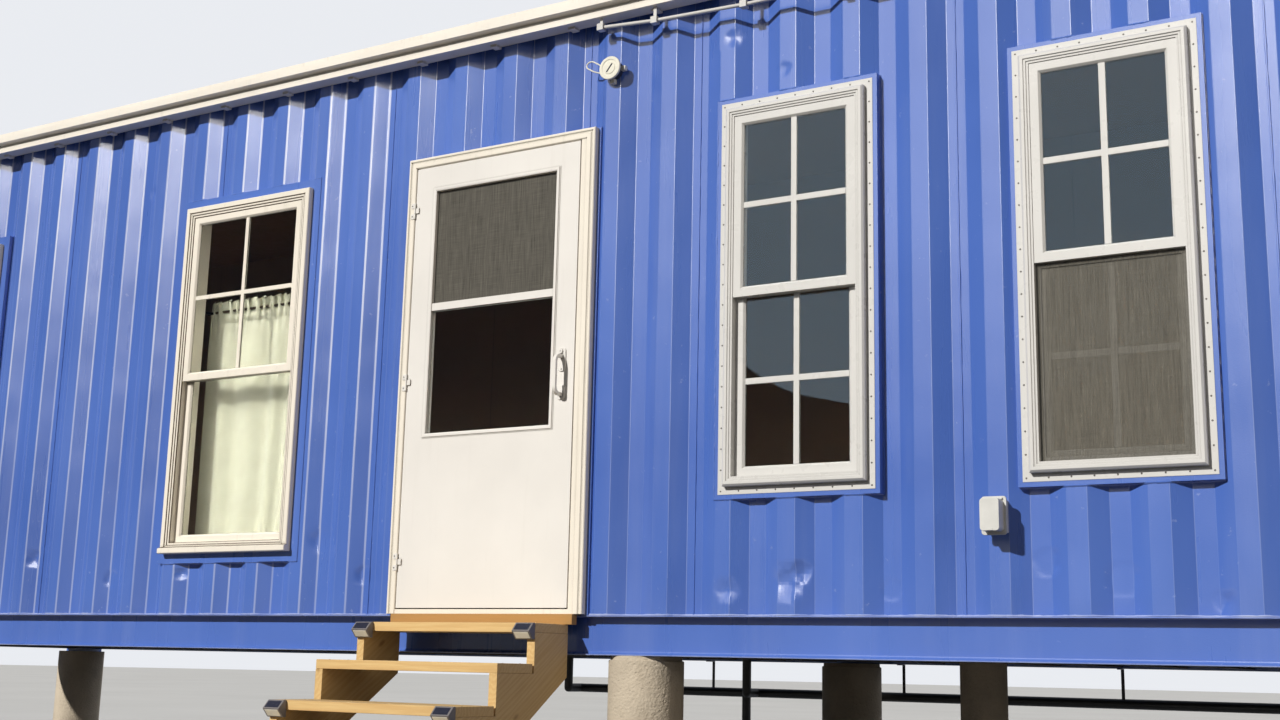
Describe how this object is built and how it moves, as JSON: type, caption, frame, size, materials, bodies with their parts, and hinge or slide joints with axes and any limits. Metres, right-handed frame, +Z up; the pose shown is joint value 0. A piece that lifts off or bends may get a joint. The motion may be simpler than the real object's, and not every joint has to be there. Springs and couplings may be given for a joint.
{
  "type": "shipping container cabin",
  "caption": "Corrugated blue shipping container made into a cabin, on concrete piers, with a storm door over timber steps, hung sash windows in steel surrounds and an eaves gutter.",
  "frame": {"origin": "on the ground, under the middle of the bounding box", "axes": "+X along the cabin towards the cargo doors, +Y from the front wall with the door towards the back wall, +Z up"},
  "size_m": [12.192, 3.763, 3.559],
  "materials": {
    "blue_steel": "gloss royal blue paint",
    "undercoat": "matt dark coating",
    "galvanised_steel": "galvanised, dull",
    "plywood": "unpainted plywood",
    "painted_board": "matt off-white paint",
    "white_metal": "satin white enamel",
    "white_vinyl": "satin white vinyl",
    "clear_glass": "clear, slightly reflective",
    "screen_mesh": "dark insect mesh",
    "timber": "new sawn softwood",
    "curtain_cloth": "thin woven cloth",
    "fitting_shell": "weathered off-white plastic",
    "black_pipe": "matt black",
    "concrete": "rough cast concrete",
    "grey_cap": "grey plastic with a small dark panel"
  },
  "bodies": {
    "cabin": {"corner_castings": "blue_steel", "corner_posts": "blue_steel", "bottom_rails": "blue_steel", "top_rails": "blue_steel", "cross_members": "undercoat", "floor_deck": "plywood", "front_wall_left": "blue_steel", "front_wall_over_door": "blue_steel", "front_wall_right": "blue_steel", "back_wall": "blue_steel", "end_wall": "blue_steel", "cargo_doors": "blue_steel", "lock_rods": "galvanised_steel", "roof_panel": "blue_steel", "lining_front_left": "plywood", "lining_over_door": "plywood", "lining_front_right": "plywood", "lining_back": "plywood", "lining_ends": "plywood", "ceiling": "plywood", "fascia_board": "painted_board", "gutter": "white_metal", "door_surround": "blue_steel", "door_casing": "white_metal", "door_sill_board": "timber", "door_hinges": "white_metal", "window_surrounds": "blue_steel", "left_window_frames": "white_metal", "left_window_sashes": "white_metal", "left_window_glass": "clear_glass", "right_window_frames": "white_vinyl", "right_window_sashes": "white_vinyl", "right_window_glass": "clear_glass", "window_screen": "screen_mesh", "curtain": "curtain_cloth", "eaves_box": "fitting_shell", "outlet_box": "white_vinyl", "eaves_conduit": "white_vinyl", "drain_pipe": "black_pipe", "piers": "concrete", "step_stringers": "timber", "step_treads": "timber", "step_lights": "grey_cap"},
    "storm_door": {"door_leaf": "white_metal", "door_glass": "clear_glass", "door_screen": "screen_mesh", "door_handle": "white_metal"}
  },
  "joints": [
    {"name": "storm_door_hinge", "type": "hinge", "parent": "cabin", "child": "storm_door", "pos_m": [-1.179, -0.6305, 1.873], "axis": [0, 0, -1], "range_deg": [0, 100]}
  ]
}
